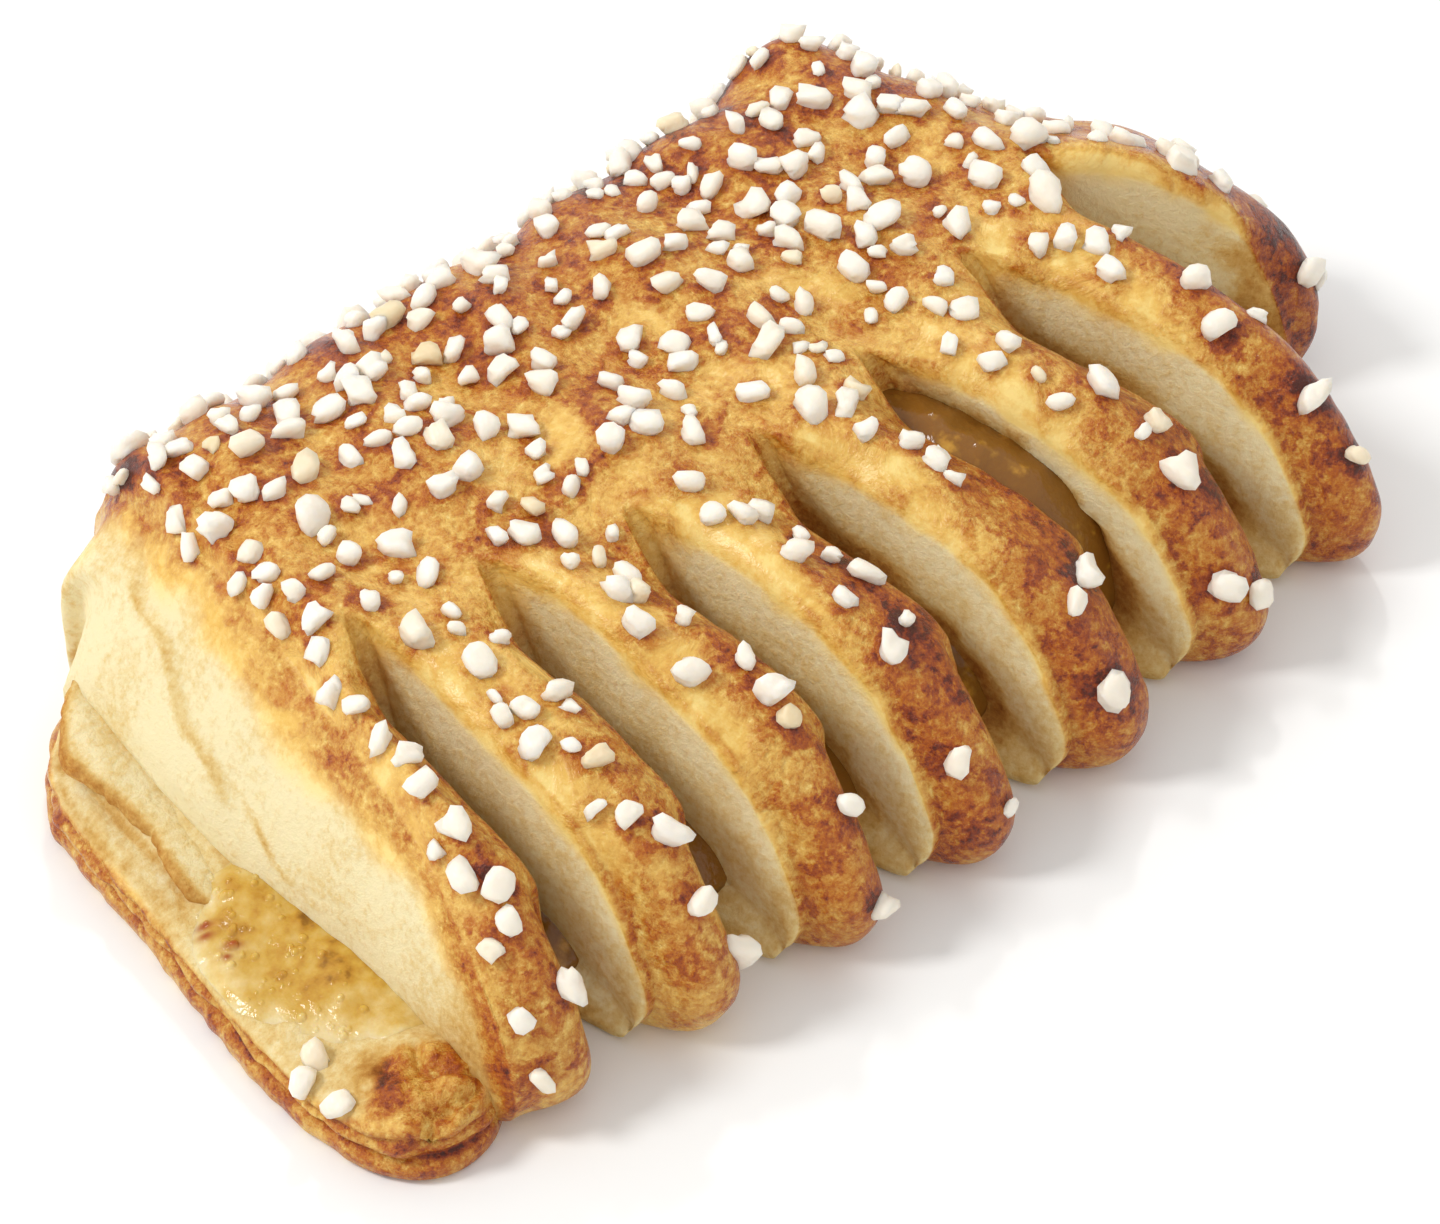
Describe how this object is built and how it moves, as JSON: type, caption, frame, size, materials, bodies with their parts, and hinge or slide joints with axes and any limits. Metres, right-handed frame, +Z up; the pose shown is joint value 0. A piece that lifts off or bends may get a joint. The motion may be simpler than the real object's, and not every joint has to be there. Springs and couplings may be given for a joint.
{
  "type": "bear claw pastry",
  "caption": "Baked laminated dough folded over a fruit filling, slit along its front into fingers that fan out, with pearl sugar on a glazed crust.",
  "frame": {"origin": "centre of the flat underside's bounding box, on the surface that the pastry lies on", "axes": "+X along the folded back edge towards the splayed last finger, -Y towards the toes, +Z up"},
  "size_m": [0.1446, 0.0814, 0.032],
  "materials": {
    "crust": "egg-washed baked crust, golden with browned patches, satin to glossy; pale crumb where the dough is cut; warm white pearl sugar",
    "filling": "translucent golden fruit gel, glossy, with small bubbles"
  },
  "bodies": {
    "root": {"dough": "crust", "filling": "filling"}
  },
  "joints": []
}
